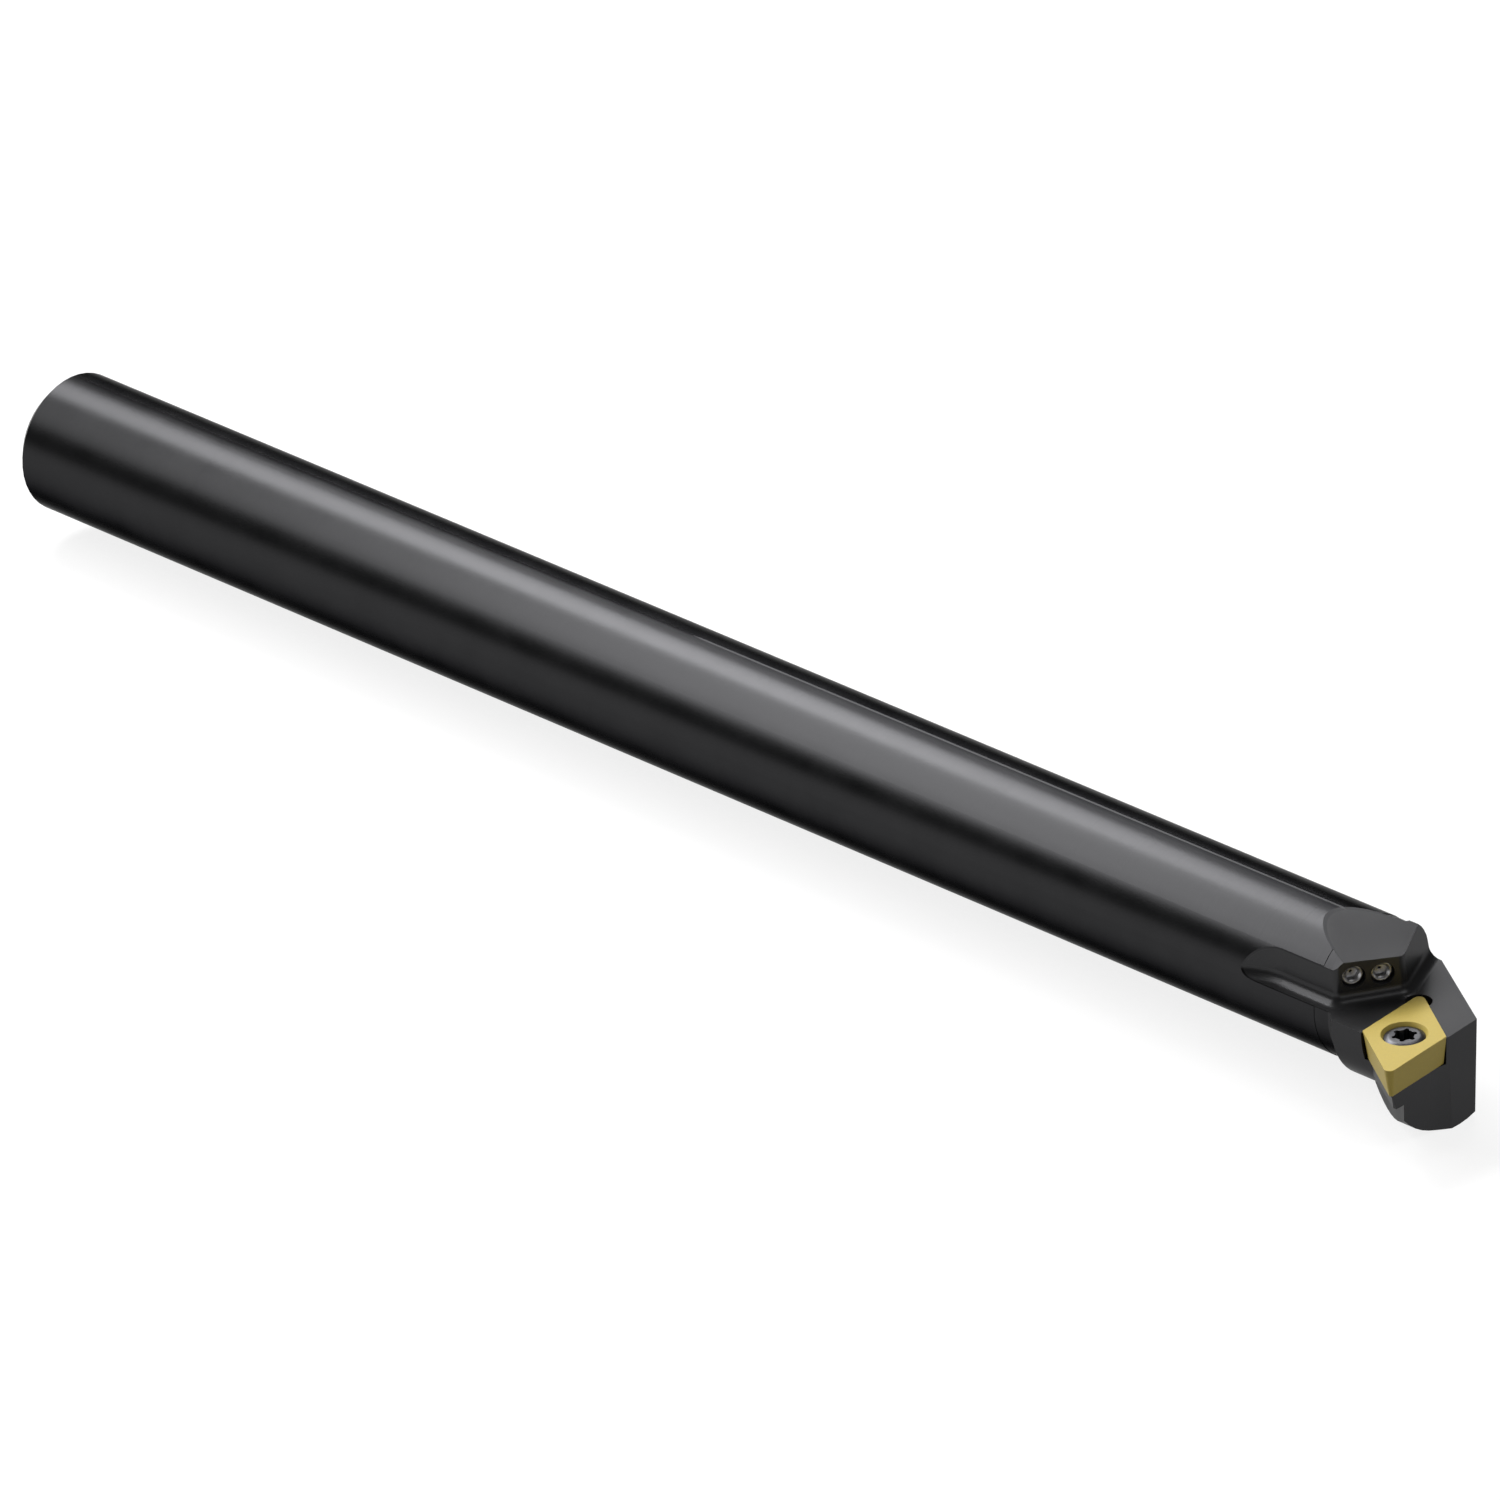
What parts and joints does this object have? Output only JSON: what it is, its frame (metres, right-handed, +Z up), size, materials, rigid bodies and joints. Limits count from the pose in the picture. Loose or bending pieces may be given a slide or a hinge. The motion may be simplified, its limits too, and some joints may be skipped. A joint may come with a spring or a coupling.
{
  "type": "boring bar",
  "caption": "Round steel boring bar with a screw-clamped diamond insert on an angled head, a milled chip space and coolant jets aimed at the cutting edge.",
  "frame": {"origin": "on the bar's axis at its rear face", "axes": "+X along the bar from the rear face to the cutting tip, +Z up on the side that the insert's face looks to, -Y towards the work side"},
  "size_m": [0.254, 0.0254, 0.0217],
  "materials": {
    "bar": "black oxide, satin",
    "insert": "gold nitride coating, satin",
    "insert_screw": "plain steel, smooth",
    "jets": "dark hardened steel, satin"
  },
  "bodies": {
    "root": {"bar": "bar", "insert": "insert", "insert_screw": "insert_screw", "jet_rear": "jets", "jet_front": "jets"}
  },
  "joints": []
}
